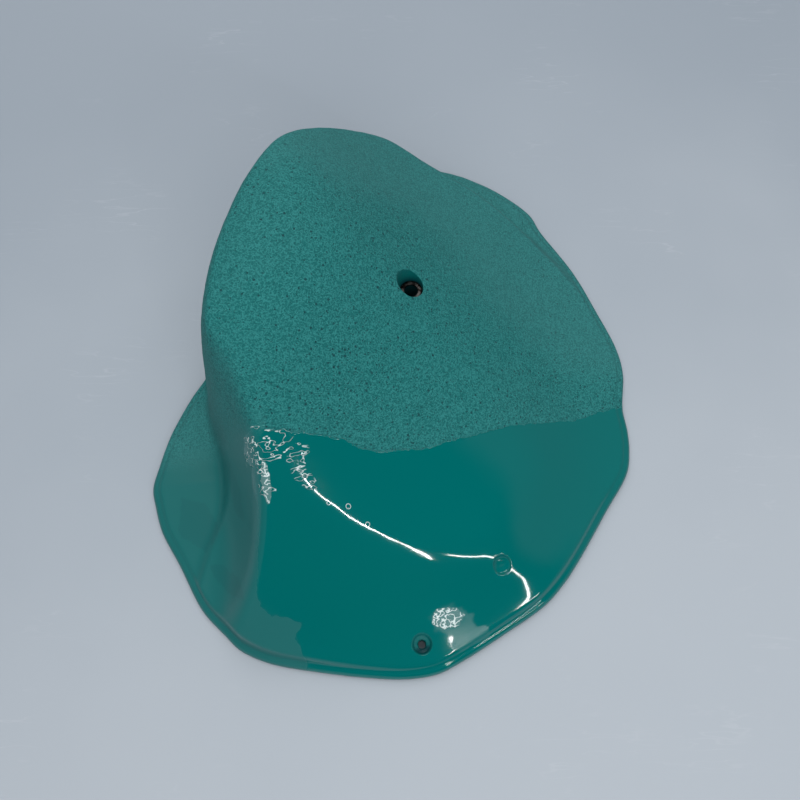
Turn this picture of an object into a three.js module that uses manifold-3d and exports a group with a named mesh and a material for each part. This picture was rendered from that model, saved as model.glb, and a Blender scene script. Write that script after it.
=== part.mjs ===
// A large climbing hold, cast in polyurethane over a hollow ribbed back, lying on its back.
// Millimetres. The back lies on the ground plane and +Z points away from the climbing wall.
// X runs across the hold and +Y towards its tall end.

import * as THREE from 'three';
import { mergeVertices } from 'three/addons/utils/BufferGeometryUtils.js';
import Module from 'manifold-3d';

const wasm = await Module();
wasm.setup();

// Outline of the foot that meets the wall.
const halfWidth = 199;
const halfLength = 231;
const rimSide = 2.5;
const rimHeight = 9;
const rimRound = 6;
const rimBlend = 3;

// Highest point and the middle that every spoke of the surface starts from.
const middleX = -50;
const middleY = 55;

// The cut faces that the form is made of. Each one passes through a point at a height, falls or
// rises by its shares along X and Y, and bends by its radii, which are endless where left out.
const cap = { x: -52, y: 60, height: 186, bendX: 210, bendY: 260 };
const topFace = {
  x: -37, y: -118, height: 84, alongXShare: -0.36, alongYShare: 0.48, bendX: -900, twist: -420,
};
const upperFace = {
  x: -20, y: 56, height: 156, alongXShare: -0.78, alongYShare: -0.12, bendX: -900,
};
const backFace = {
  x: 13, y: 88, height: 132, alongXShare: -1.03, alongYShare: -0.51,
  bendX: -205, bendY: -730, twist: 230,
};
const leftFace = { x: -96, y: -131, height: 90, alongXShare: 2.2, alongYShare: 0.4, bendY: -80 };
const rightFace = { x: 111, y: -113, height: 36, alongXShare: -0.62, alongYShare: 0.35 };
const frontFallShare = 0.24;

// How softly one face runs into the next.
const ridgeBlend = 3;
const upperBlend = 40;
const capBlend = 45;
const backBlend = 48;
const rightBlend = 8;
const leftBlend = 18;
const wallBlend = 70;

// Steep wall round the tall end, and the flange that spreads from its foot.
const wallFootHeight = 8;
const wallRiseShare = 7;
const flangeHeight = 9;
const flangeRiseShare = 0.25;
const flangeBlend = 16;
const steepFillet = 44;

// Hollow back: wall of the casting, foot left flat round it, bolt boss and ribs.
const castingWall = 12;
const footWidth = 24;
const hollowFromHeight = 38;
const bossFootRadius = 28;
const bossTopRadius = 25;
const ribFootThickness = 11;
const ribTopThickness = 15;
const ribSetBack = 2;
const ribTurnShares = [0.2, 0.52, 0.79];

// Bolt bore with its moulded-in washer: a flange held in a groove, and a hub that the bolt meets.
const boltX = 13.5;
const boltY = 52;
const boltSeatDepth = 12;
const boltMouthRadius = 11;
const boltSeatRadius = 8.75;
const boltHoleRadius = 6;
const washerFlangeRadius = 10;
const washerHubRadius = 8.4;
const washerBoreRadius = 5.25;
const washerFlange = 1;
const washerThickness = 2;
const seatClearance = 0.3;

// Set-screw hole in its round recess, and the shallow dimple of a second place left undrilled.
const screwX = 22;
const screwFromFront = 25;
const screwY = screwFromFront - halfLength;
const screwRecessRadius = 7.75;
const screwRecessFloorRadius = 6;
const screwRecessDepth = 4.5;
const screwHoleRadius = 3.1;
const dimpleX = 84;
const dimpleY = -148;
const dimpleRadius = 6.5;
const dimpleDepth = 2.2;

const overrun = 5;

// Steps of the surface.
const curveSteps = 12;
const spokes = 88;
const rings = 30;
const spokeSamples = 220;
const hollowSpokes = 48;
const hollowRings = 11;
const hollowEaseSpokes = 2;
const roundSteps = 28;

// Foot outline as shares of the half width and half length, anticlockwise from the left tip.
const rimShares = [
  [-1.015, -0.35], [-0.995, -0.42], [-0.96, -0.505], [-0.87, -0.63], [-0.765, -0.78],
  [-0.67, -0.86], [-0.607, -0.908], [-0.5, -0.948], [-0.36, -0.972], [-0.1, -0.998],
  [0.06, -1.002], [0.177, -0.985], [0.282, -0.94], [0.43, -0.863], [0.61, -0.76],
  [0.694, -0.684], [0.757, -0.61], [0.882, -0.44], [0.992, -0.287], [1.01, -0.202],
  [1.01, -0.13], [0.998, -0.04], [1.015, 0.1], [0.997, 0.2], [0.925, 0.355],
  [0.832, 0.532], [0.692, 0.722], [0.65, 0.797], [0.567, 0.867], [0.438, 0.943],
  [0.235, 1.015], [-0.07, 1.04], [-0.33, 1.01], [-0.55, 0.9], [-0.7, 0.71],
  [-0.77, 0.48], [-0.785, 0.28], [-0.822, 0.108], [-0.892, -0.006], [-0.96, -0.14],
  [-0.998, -0.265],
];

// Foot of the steep wall. Past the right and front edges it stands clear of the form.
const wallShares = [
  [-0.72, -0.42], [-0.73, -0.26], [-0.77, -0.145], [-0.795, -0.02], [-0.785, 0.175],
  [-0.73, 0.375], [-0.652, 0.563], [-0.552, 0.722], [-0.412, 0.845], [-0.245, 0.937],
  [-0.03, 0.98], [0.2, 0.893], [0.42, 0.805], [0.625, 0.67], [0.83, 0.49],
  [0.97, 0.315], [1.065, 0.11], [1.13, -0.26], [1.13, -0.865], [0.5, -1.385],
  [-0.3, -1.385], [-0.85, -1.0], [-0.79, -0.62],
];

// Crest of the ridge, from the left flank to the rim past the dimple, and the corners that
// close the low front side of it.
const ridgeShares = [
  [-0.805, -0.085], [-0.635, -0.225], [-0.4875, -0.34], [-0.355, -0.435], [-0.185, -0.52],
  [0.065, -0.61], [0.29, -0.645], [0.42, -0.64], [0.4875, -0.685], [0.52, -0.785],
  [0.54, -0.93], [0.565, -1.125],
];
const lowSideShares = [[0.565, -2], [-2, -2], [-2, -0.085]];

function planPoints(shares) {
  return shares.map(([across, along]) => new THREE.Vector2(across * halfWidth, along * halfLength));
}

function smoothCurve(points, closed) {
  const spatial = points.map((point) => new THREE.Vector3(point.x, point.y, 0));
  const curve = new THREE.CatmullRomCurve3(spatial, closed, 'centripetal');
  const runs = closed ? points.length : points.length - 1;
  const smooth = curve.getPoints(runs * curveSteps);
  if (closed) smooth.pop();
  return smooth.map((point) => new THREE.Vector2(point.x, point.y));
}

function distanceToLine(x, y, line, closed) {
  let nearest = Infinity;
  const count = closed ? line.length : line.length - 1;
  for (let i = 0; i < count; i += 1) {
    const start = line[i];
    const end = line[(i + 1) % line.length];
    const runX = end.x - start.x;
    const runY = end.y - start.y;
    const along = ((x - start.x) * runX + (y - start.y) * runY) / (runX * runX + runY * runY);
    const at = THREE.MathUtils.clamp(along, 0, 1);
    nearest = Math.min(nearest, Math.hypot(x - start.x - at * runX, y - start.y - at * runY));
  }
  return nearest;
}

function isInside(x, y, line) {
  let inside = false;
  for (let i = 0; i < line.length; i += 1) {
    const start = line[i];
    const end = line[(i + 1) % line.length];
    const crosses = (start.y > y) !== (end.y > y);
    if (crosses && x < start.x + ((y - start.y) * (end.x - start.x)) / (end.y - start.y)) {
      inside = !inside;
    }
  }
  return inside;
}

function insideDistance(x, y, line) {
  const distance = distanceToLine(x, y, line, true);
  return isInside(x, y, line) ? distance : -distance;
}

const rimLine = smoothCurve(planPoints(rimShares), true);
const wallLine = smoothCurve(planPoints(wallShares), true);
const ridgeLine = smoothCurve(planPoints(ridgeShares), false);
const lowSideLine = [...ridgeLine, ...planPoints(lowSideShares)];

function softLow(first, second, blend) {
  const mix = THREE.MathUtils.clamp((1 + (second - first) / blend) / 2, 0, 1);
  return THREE.MathUtils.lerp(second, first, mix) - blend * mix * (1 - mix);
}

function softHigh(first, second, blend) {
  return -softLow(-first, -second, blend);
}

// Height of one cut face, let down so that a casting of the given thickness stands over it.
function faceHeight(face, x, y, thickness) {
  const { alongXShare = 0, alongYShare = 0, bendX = Infinity, bendY = Infinity } = face;
  const { twist = Infinity } = face;
  const dx = x - face.x;
  const dy = y - face.y;
  const plane = face.height + alongXShare * dx + alongYShare * dy;
  const bend = (dx * dx) / (2 * bendX) + (dy * dy) / (2 * bendY) - (dx * dy) / twist;
  return plane - bend - thickness * Math.hypot(1, alongXShare, alongYShare);
}

// Height of the flange that runs round the foot, rising gently inwards from the rim.
function flangeTop(x, y, thickness = 0) {
  const fromRim = Math.max(0, insideDistance(x, y, rimLine));
  const rise = flangeRiseShare * fromRim;
  return flangeHeight + rise - thickness * Math.hypot(1, flangeRiseShare);
}

// Height of the form above the back, or of the hollow under a casting of some thickness. The
// steep left flank and wall run out into the flange in a hollow fillet.
function formHeight(x, y, thickness = 0) {
  const flange = flangeTop(x, y, thickness);
  const top = faceHeight(topFace, x, y, thickness);
  const below = distanceToLine(x, y, ridgeLine, false) * (isInside(x, y, lowSideLine) ? 1 : -1);
  let height = softLow(top, top - frontFallShare * below, ridgeBlend);
  height = softLow(height, faceHeight(upperFace, x, y, thickness), upperBlend);
  height = softLow(faceHeight(cap, x, y, thickness), height, capBlend);
  height = softLow(height, faceHeight(backFace, x, y, thickness), backBlend);
  height = softLow(height, faceHeight(rightFace, x, y, thickness), rightBlend);
  const flank = softHigh(faceHeight(leftFace, x, y, thickness), flange, steepFillet);
  height = softLow(height, flank, leftBlend);
  const steep = thickness * Math.hypot(1, wallRiseShare);
  const wall = wallFootHeight + wallRiseShare * insideDistance(x, y, wallLine) - steep;
  return softLow(height, softHigh(wall, flange, steepFillet), wallBlend);
}

// The whole outer surface: the form, its flange and the rounded edge of the foot.
function surfaceHeight(x, y) {
  const height = softHigh(formHeight(x, y), flangeTop(x, y), flangeBlend);
  const fromRim = Math.max(0, insideDistance(x, y, rimLine));
  const round = 1 - Math.min(1, fromRim / rimRound);
  const edge = rimSide + (rimHeight - rimSide) * Math.sqrt(1 - round * round);
  const open = (height * Math.max(0, fromRim - rimRound)) / rimRound;
  return softLow(height, edge + open, rimBlend);
}

// Points of one spoke from the rim to the middle, spaced evenly along the surface.
function spokePoints(start, heightAt, steps) {
  const samples = [];
  for (let i = 0; i <= spokeSamples; i += 1) {
    const inward = (i / spokeSamples) ** 2;
    const x = THREE.MathUtils.lerp(start.x, middleX, inward);
    const y = THREE.MathUtils.lerp(start.y, middleY, inward);
    samples.push(new THREE.Vector3(x, y, heightAt(x, y)));
  }
  const travelled = [0];
  for (let i = 1; i < samples.length; i += 1) {
    travelled.push(travelled[i - 1] + samples[i].distanceTo(samples[i - 1]));
  }
  const whole = travelled[travelled.length - 1];
  const points = [];
  let at = 0;
  for (let i = 0; i < steps; i += 1) {
    const target = (whole * i) / steps;
    while (travelled[at + 1] < target) at += 1;
    const part = (target - travelled[at]) / (travelled[at + 1] - travelled[at]);
    points.push(samples[at].clone().lerp(samples[at + 1], part));
  }
  return points;
}

// Closed body from loops of points stacked from the flat underside to a single top point.
function bodyFromLoops(loops, topPoint) {
  const count = loops[0].length;
  const positions = [];
  loops.forEach((loop) => loop.forEach((point) => positions.push(point.x, point.y, point.z)));
  const underside = loops[0][0].z;
  positions.push(middleX, middleY, underside, topPoint.x, topPoint.y, topPoint.z);
  const lowMiddle = loops.length * count;
  const indices = [];
  for (let i = 0; i < count; i += 1) {
    const next = (i + 1) % count;
    indices.push(lowMiddle, next, i);
    for (let k = 0; k + 1 < loops.length; k += 1) {
      const low = k * count;
      const high = low + count;
      indices.push(low + i, low + next, high + next, low + i, high + next, high + i);
    }
    const last = (loops.length - 1) * count;
    indices.push(last + i, last + next, lowMiddle + 1);
  }
  const geometry = new THREE.BufferGeometry();
  geometry.setAttribute('position', new THREE.Float32BufferAttribute(positions, 3));
  geometry.setIndex(indices);
  return geometry;
}

function toSolid(geometry) {
  const bare = geometry.clone();
  bare.deleteAttribute('normal');
  bare.deleteAttribute('uv');
  const merged = mergeVertices(bare);
  const vertProperties = new Float32Array(merged.attributes.position.array);
  const triVerts = new Uint32Array(merged.index.array);
  return new wasm.Manifold(new wasm.Mesh({ numProp: 3, vertProperties, triVerts }));
}

function toGeometry(solid) {
  const mesh = solid.getMesh();
  const geometry = new THREE.BufferGeometry();
  geometry.setAttribute('position', new THREE.Float32BufferAttribute(mesh.vertProperties, 3));
  geometry.setIndex(new THREE.Uint32BufferAttribute(mesh.triVerts, 1));
  geometry.computeVertexNormals();
  return geometry;
}

// Solid of revolution about an upright axis, from radius and height pairs.
function turned(profile, x, y) {
  const points = profile.map(([radius, height]) => new THREE.Vector2(radius, height));
  const geometry = new THREE.LatheGeometry(points, roundSteps);
  geometry.rotateX(Math.PI / 2);
  geometry.translate(x, y, 0);
  return toSolid(geometry);
}

// Points spaced evenly round a closed line.
function evenly(line, count) {
  const spatial = line.map((point) => new THREE.Vector3(point.x, point.y, 0));
  const curve = new THREE.CatmullRomCurve3(spatial, true, 'centripetal');
  const points = curve.getSpacedPoints(count);
  points.pop();
  return points;
}

function outerSolid() {
  const starts = evenly(rimLine, spokes);
  const lines = starts.map((start) => spokePoints(start, surfaceHeight, rings));
  const loops = [starts.map((start) => new THREE.Vector3(start.x, start.y, 0))];
  for (let k = 0; k < rings; k += 1) loops.push(lines.map((line) => line[k]));
  const summit = new THREE.Vector3(middleX, middleY, surfaceHeight(middleX, middleY));
  return toSolid(bodyFromLoops(loops, summit));
}

// How far out from the middle the hollow reaches in one direction.
function hollowReach(angle) {
  const full = Math.hypot(halfWidth, halfLength) * 2;
  for (let i = spokeSamples; i > 0; i -= 1) {
    const reach = (full * i) / spokeSamples;
    const x = middleX + reach * Math.cos(angle);
    const y = middleY + reach * Math.sin(angle);
    const foot = Math.min(insideDistance(x, y, rimLine), insideDistance(x, y, wallLine));
    if (foot > footWidth && formHeight(x, y) > hollowFromHeight) return reach;
  }
  return footWidth;
}

function spread(values, index, take) {
  const near = [];
  for (let k = -hollowEaseSpokes; k <= hollowEaseSpokes; k += 1) {
    near.push(values[(index + k + values.length) % values.length]);
  }
  return take(near);
}

// Outline of the hollow: the least reach near each spoke, then evened out.
function hollowOutline() {
  const turn = (2 * Math.PI) / hollowSpokes;
  const reaches = Array.from({ length: hollowSpokes }, (_, i) => hollowReach(i * turn));
  const least = reaches.map((_, i) => spread(reaches, i, (near) => Math.min(...near)));
  const mean = (near) => near.reduce((sum, value) => sum + value, 0) / near.length;
  return least.map((_, i) => {
    const reach = spread(least, i, mean);
    const x = middleX + reach * Math.cos(i * turn);
    const y = middleY + reach * Math.sin(i * turn);
    return new THREE.Vector2(x, y);
  });
}

// Rib of the hollow: a tapered wall that runs out from the bolt boss.
function ribSolid(turnShare) {
  const top = cap.height + castingWall;
  const section = new THREE.Shape([
    new THREE.Vector2(-ribFootThickness / 2, ribSetBack),
    new THREE.Vector2(ribFootThickness / 2, ribSetBack),
    new THREE.Vector2(ribTopThickness / 2, top),
    new THREE.Vector2(-ribTopThickness / 2, top),
  ]);
  const reach = halfWidth + halfLength;
  const geometry = new THREE.ExtrudeGeometry(section, { depth: reach, bevelEnabled: false });
  const across = new THREE.Vector3(0, 1, 0);
  const up = new THREE.Vector3(0, 0, 1);
  const outward = new THREE.Vector3(1, 0, 0);
  geometry.applyMatrix4(new THREE.Matrix4().makeBasis(across, up, outward));
  geometry.rotateZ(turnShare * 2 * Math.PI);
  geometry.translate(boltX, boltY, 0);
  return toSolid(geometry);
}

// The hollow of the back, with the boss and the ribs left standing in it.
function hollowSolid() {
  const outline = hollowOutline();
  const roof = (x, y) => Math.max(formHeight(x, y, castingWall), castingWall);
  const lines = outline.map((start) => spokePoints(start, roof, hollowRings));
  const loops = [outline.map((start) => new THREE.Vector3(start.x, start.y, -overrun))];
  for (let k = 0; k < hollowRings; k += 1) loops.push(lines.map((line) => line[k]));
  const summit = new THREE.Vector3(middleX, middleY, roof(middleX, middleY));
  let hollow = toSolid(bodyFromLoops(loops, summit));
  const boss = [
    [0, -2 * overrun], [bossFootRadius, -2 * overrun], [bossTopRadius, cap.height],
    [0, cap.height],
  ];
  hollow = hollow.subtract(turned(boss, boltX, boltY));
  ribTurnShares.forEach((turnShare) => {
    hollow = hollow.subtract(ribSolid(turnShare));
  });
  return hollow;
}

const boltMouthHeight = surfaceHeight(boltX, boltY);
const boltSeatHeight = boltMouthHeight - boltSeatDepth;
const screwMouthHeight = surfaceHeight(screwX, screwY);
const dimpleMouthHeight = surfaceHeight(dimpleX, dimpleY);

// Bolt bore from the mouth to the back, with the groove that holds the washer's flange.
function boltBore() {
  const above = boltMouthHeight + boltMouthRadius * 2;
  const grooveRadius = washerFlangeRadius + seatClearance;
  const grooveLow = boltSeatHeight - washerThickness - seatClearance;
  const grooveHigh = boltSeatHeight - washerThickness + washerFlange + seatClearance;
  return turned([
    [0, -overrun], [boltHoleRadius, -overrun], [boltHoleRadius, grooveLow],
    [grooveRadius, grooveLow], [grooveRadius, grooveHigh], [boltSeatRadius, grooveHigh],
    [boltSeatRadius, boltSeatHeight], [boltMouthRadius, boltMouthHeight],
    [boltMouthRadius, above], [0, above],
  ], boltX, boltY);
}

function screwBore() {
  const floor = screwMouthHeight - screwRecessDepth;
  const above = screwMouthHeight + screwRecessRadius;
  return turned([
    [0, -overrun], [screwHoleRadius, -overrun], [screwHoleRadius, floor],
    [screwRecessFloorRadius, floor], [screwRecessRadius, screwMouthHeight],
    [screwRecessRadius, above], [0, above],
  ], screwX, screwY);
}

function dimple() {
  const low = dimpleMouthHeight - dimpleDepth;
  const above = dimpleMouthHeight + dimpleRadius;
  return turned([
    [0, low], [dimpleRadius / 2, low], [dimpleRadius, dimpleMouthHeight],
    [dimpleRadius, above], [0, above],
  ], dimpleX, dimpleY);
}

function polyurethane() {
  return new THREE.MeshStandardMaterial({ color: 0x1f8078, roughness: 0.35, metalness: 0 });
}

function zincedSteel() {
  return new THREE.MeshStandardMaterial({ color: 0x8d8a84, roughness: 0.4, metalness: 1 });
}

function holdBody() {
  const body = outerSolid()
    .subtract(hollowSolid())
    .subtract(boltBore())
    .subtract(screwBore())
    .subtract(dimple());
  const mesh = new THREE.Mesh(toGeometry(body), polyurethane());
  mesh.name = 'hold_body';
  return mesh;
}

function boltWasher() {
  const profile = [
    [washerBoreRadius, 0], [washerFlangeRadius, 0], [washerFlangeRadius, washerFlange],
    [washerHubRadius, washerFlange], [washerHubRadius, washerThickness],
    [washerBoreRadius, washerThickness], [washerBoreRadius, 0],
  ].map(([radius, height]) => new THREE.Vector2(radius, height));
  const geometry = new THREE.LatheGeometry(profile, roundSteps);
  geometry.rotateX(Math.PI / 2);
  const mesh = new THREE.Mesh(geometry, zincedSteel());
  mesh.name = 'bolt_washer';
  mesh.position.set(boltX, boltY, boltSeatHeight - washerThickness);
  return mesh;
}

// The middle of the back is the origin.
const hold = new THREE.Group();
hold.add(holdBody(), boltWasher());
const middle = new THREE.Box3().setFromObject(hold).getCenter(new THREE.Vector3());
hold.children.forEach((mesh) => mesh.position.add(new THREE.Vector3(-middle.x, -middle.y, 0)));

export default hold;
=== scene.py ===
import math

import bmesh
import bpy
import numpy as np
from mathutils import Matrix, Vector
from mathutils.geometry import delaunay_2d_cdt


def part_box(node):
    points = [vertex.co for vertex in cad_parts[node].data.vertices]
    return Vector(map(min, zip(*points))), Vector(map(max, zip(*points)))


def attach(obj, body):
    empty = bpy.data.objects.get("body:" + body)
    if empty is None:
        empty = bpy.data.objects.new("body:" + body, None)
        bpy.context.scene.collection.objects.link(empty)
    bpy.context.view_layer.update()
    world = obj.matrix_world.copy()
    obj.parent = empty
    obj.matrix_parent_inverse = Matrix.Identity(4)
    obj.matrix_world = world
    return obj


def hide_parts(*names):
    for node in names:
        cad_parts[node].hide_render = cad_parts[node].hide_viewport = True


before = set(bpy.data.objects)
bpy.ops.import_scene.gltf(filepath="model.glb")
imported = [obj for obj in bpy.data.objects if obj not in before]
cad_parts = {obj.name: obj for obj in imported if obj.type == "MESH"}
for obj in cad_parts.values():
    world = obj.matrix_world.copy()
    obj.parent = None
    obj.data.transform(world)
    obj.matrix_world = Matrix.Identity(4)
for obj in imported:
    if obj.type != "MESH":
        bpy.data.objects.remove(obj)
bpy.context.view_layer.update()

millimetre = 0.001
skinFinish, boreFinish, backFinish = range(3)

# Form of the hold, drawn in millimetres. The shares are of the half width and half length.
hold = {
    "halfWidth": 199,
    "halfLength": 231,
    "middle": (-50, 55),
    "footSide": 2.5,
    "footHeight": 9,
    "footRound": 6,
    "footBlend": 3,
    "cap": {"at": (-52, 60, 186), "bendX": 210, "bendY": 260},
    "topFace": {"at": (-37, -118, 84), "slope": (-0.36, 0.48), "bendX": -900, "twist": -420},
    "upperFace": {"at": (-20, 56, 156), "slope": (-0.78, -0.12), "bendX": -900},
    "backFace": {"at": (13, 88, 132), "slope": (-1.03, -0.51), "bendX": -205, "bendY": -730,
                 "twist": 230},
    "cornerFace": {"at": (84, -149, 40), "slope": (-0.262, 0.626)},
    "leftFace": {"at": (-96, -131, 90), "slope": (2.2, 0.4), "bendY": -80},
    "rightFace": {"at": (111, -113, 36), "slope": (-0.62, 0.35)},
    "frontFall": 0.24,
    "ridgeBlend": 1.6,
    "cornerBlend": 8,
    "upperBlend": 40,
    "capBlend": 45,
    "backBlend": 48,
    "rightBlend": 8,
    "leftBlend": 18,
    "wallBlend": 70,
    "wallFoot": 8,
    "wallRise": 7,
    "flangeHeight": 9,
    "flangeRise": 0.25,
    "flangeBlend": 16,
    "steepFillet": 44,
    "footShares": [
        (-1.015, -0.35), (-0.995, -0.42), (-0.96, -0.505), (-0.87, -0.63), (-0.765, -0.78),
        (-0.67, -0.86), (-0.607, -0.908), (-0.5, -0.948), (-0.36, -0.972), (-0.1, -0.998),
        (0.06, -1.002), (0.177, -0.985), (0.282, -0.94), (0.43, -0.863), (0.61, -0.76),
        (0.694, -0.684), (0.757, -0.61), (0.882, -0.44), (0.992, -0.287), (1.01, -0.202),
        (1.01, -0.13), (0.998, -0.04), (1.015, 0.1), (0.997, 0.2), (0.925, 0.355),
        (0.832, 0.532), (0.692, 0.722), (0.65, 0.797), (0.567, 0.867), (0.438, 0.943),
        (0.235, 1.015), (-0.07, 1.04), (-0.33, 1.01), (-0.55, 0.9), (-0.7, 0.71),
        (-0.77, 0.48), (-0.785, 0.28), (-0.822, 0.108), (-0.892, -0.006), (-0.96, -0.14),
        (-0.998, -0.265),
    ],
    "wallShares": [
        (-0.72, -0.42), (-0.73, -0.26), (-0.77, -0.145), (-0.795, -0.02), (-0.785, 0.175),
        (-0.73, 0.375), (-0.652, 0.563), (-0.552, 0.722), (-0.412, 0.845), (-0.245, 0.937),
        (-0.03, 0.98), (0.2, 0.893), (0.42, 0.805), (0.625, 0.67), (0.83, 0.49),
        (0.97, 0.315), (1.065, 0.11), (1.13, -0.26), (1.13, -0.865), (0.5, -1.385),
        (-0.3, -1.385), (-0.85, -1.0), (-0.79, -0.62),
    ],
    "ridgeShares": [
        (-0.805, -0.085), (-0.635, -0.225), (-0.4875, -0.34), (-0.355, -0.435), (-0.185, -0.52),
        (0.065, -0.61), (0.29, -0.645), (0.42, -0.64), (0.4875, -0.685), (0.52, -0.785),
        (0.54, -0.93), (0.565, -1.125),
    ],
    "lowSideShares": [(0.565, -2), (-2, -2), (-2, -0.085)],
}


# Points of a smooth curve for each point that is drawn.
curveSteps = 12


def smoothCurve(shares, closed):
    # A curve through all the points, which bends evenly although they lie at uneven spaces.
    points = np.array(shares, float) * (hold["halfWidth"], hold["halfLength"])
    count = len(points)
    pieces = []
    for i in range(count if closed else count - 1):
        if closed:
            before, start, end, after = (points[(i + k) % count] for k in (-1, 0, 1, 2))
        else:
            start, end = points[i], points[i + 1]
            before = points[i - 1] if i else 2 * start - end
            after = points[i + 2] if i + 2 < count else 2 * end - start
        gaps = [math.sqrt(np.linalg.norm(b - a)) for a, b in
                ((before, start), (start, end), (end, after))]
        leave = (start - before) / gaps[0] - (end - before) / (gaps[0] + gaps[1])
        arrive = (after - end) / gaps[2] - (after - start) / (gaps[1] + gaps[2])
        leave = end - start + gaps[1] * leave
        arrive = end - start + gaps[1] * arrive
        t = np.linspace(0, 1, curveSteps, endpoint=False)[:, None]
        pieces.append((2 * t**3 - 3 * t**2 + 1) * start + (t**3 - 2 * t**2 + t) * leave
                      + (3 * t**2 - 2 * t**3) * end + (t**3 - t**2) * arrive)
    if not closed:
        pieces.append(points[-1:])
    return np.vstack(pieces)


def lineDistance(x, y, line, closed):
    ends = np.roll(line, -1, axis=0) if closed else line[1:]
    starts = line if closed else line[:-1]
    nearest = np.full(x.shape, math.inf)
    for (ax, ay), (bx, by) in zip(starts, ends):
        runX, runY = bx - ax, by - ay
        along = np.clip(((x - ax) * runX + (y - ay) * runY) / (runX**2 + runY**2), 0, 1)
        away = (x - ax - along * runX) ** 2 + (y - ay - along * runY) ** 2
        np.minimum(nearest, away, out=nearest)
    return np.sqrt(nearest)


def insideLine(x, y, line):
    inside = np.zeros(x.shape, bool)
    for (ax, ay), (bx, by) in zip(line, np.roll(line, -1, axis=0)):
        if ay != by:
            crosses = (ay > y) != (by > y)
            inside ^= crosses & (x < ax + (y - ay) * (bx - ax) / (by - ay))
    return inside


def insideDistance(x, y, line):
    # How far inside a closed line a place lies, below 0 outside.
    return lineDistance(x, y, line, True) * np.where(insideLine(x, y, line), 1, -1)


footLine = smoothCurve(hold["footShares"], True)
wallLine = smoothCurve(hold["wallShares"], True)
ridgeLine = smoothCurve(hold["ridgeShares"], False)
lowSide = np.array(hold["lowSideShares"]) * (hold["halfWidth"], hold["halfLength"])
lowSideLine = np.vstack([ridgeLine, lowSide])

# The solid's origin is the middle of its back, which lies a little off the drawing's.
formShift = np.array([*(-(footLine.min(axis=0) + footLine.max(axis=0)) / 2), 0.0])


def softLow(first, second, blend):
    # The lower of two heights, rounded where they cross.
    mix = np.clip((1 + (second - first) / blend) / 2, 0, 1)
    return second + (first - second) * mix - blend * mix * (1 - mix)


def softHigh(first, second, blend):
    return -softLow(-first, -second, blend)


def faceHeight(face, x, y):
    dx, dy = x - face["at"][0], y - face["at"][1]
    slopeX, slopeY = face.get("slope", (0, 0))
    bendX, bendY, twist = (face.get(name, math.inf) for name in ("bendX", "bendY", "twist"))
    bend = dx * dx / (2 * bendX) + dy * dy / (2 * bendY)
    return face["at"][2] + slopeX * dx + slopeY * dy - bend + dx * dy / twist


def surfaceHeight(x, y):
    top = faceHeight(hold["topFace"], x, y)
    below = lineDistance(x, y, ridgeLine, False) * np.where(insideLine(x, y, lowSideLine), 1, -1)
    height = softLow(top, top - hold["frontFall"] * below, hold["ridgeBlend"])
    height = softLow(height, faceHeight(hold["upperFace"], x, y), hold["upperBlend"])
    height = softLow(height, faceHeight(hold["cornerFace"], x, y), hold["cornerBlend"])
    height = softLow(faceHeight(hold["cap"], x, y), height, hold["capBlend"])
    height = softLow(height, faceHeight(hold["backFace"], x, y), hold["backBlend"])
    height = softLow(height, faceHeight(hold["rightFace"], x, y), hold["rightBlend"])
    fromRim = np.maximum(0, insideDistance(x, y, footLine))
    flange = hold["flangeHeight"] + hold["flangeRise"] * fromRim
    flank = softHigh(faceHeight(hold["leftFace"], x, y), flange, hold["steepFillet"])
    height = softLow(height, flank, hold["leftBlend"])
    wall = hold["wallFoot"] + hold["wallRise"] * insideDistance(x, y, wallLine)
    height = softLow(height, softHigh(wall, flange, hold["steepFillet"]), hold["wallBlend"])
    height = softHigh(height, flange, hold["flangeBlend"])
    turn = 1 - np.minimum(1, fromRim / hold["footRound"])
    edge = hold["footSide"] + (hold["footHeight"] - hold["footSide"]) * np.sqrt(1 - turn * turn)
    free = height * np.maximum(0, fromRim - hold["footRound"]) / hold["footRound"]
    return softLow(height, edge + free, hold["footBlend"])


class Shell:
    # Collects points and triangles; every triangle keeps the number of its finish.
    def __init__(self):
        self.points, self.faces, self.finishes, self.count = [], [], [], 0

    def add(self, points, faces, finish):
        if len(faces):
            self.points.append(np.asarray(points, float))
            self.faces.append(np.asarray(faces, int) + self.count)
            self.finishes.append(np.full(len(faces), finish))
            self.count += len(points)


def band(low, high):
    # Triangles between two rings of point numbers; the second may have half as many points.
    count, share = len(high), len(low) // len(high)
    faces = []
    for i in range(count):
        a, b = high[i], high[(i + 1) % count]
        if share == 1:
            c, d = low[i], low[(i + 1) % count]
            faces += [(c, d, b), (c, b, a)]
        else:
            c, d, e = (low[(2 * i + k) % len(low)] for k in range(3))
            faces += [(c, d, a), (d, b, a), (d, e, b)]
    return faces


def evenly(line, count):
    # Points at even spaces along a closed line.
    closed = np.vstack([line, line[:1]])
    steps = np.linalg.norm(np.diff(closed, axis=0), axis=1)
    along = np.concatenate([[0], np.cumsum(steps)])
    at = np.linspace(0, along[-1], count, endpoint=False)
    return np.stack([np.interp(at, along, closed[:, k]) for k in (0, 1)], axis=1)


# How finely the skin is laid. From the share coarserFrom of the way in, the spokes get fewer, but
# no fewer than leastSpokes. The foot's edge is eased by a height in millimetres and an inset that
# is a share of the way in.
skin = {
    "spokes": 768, "rings": 172, "samples": 200,
    "coarserFrom": 0.5, "leastSpokes": 48, "footEase": 0.35, "footInset": 0.002,
}

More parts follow.
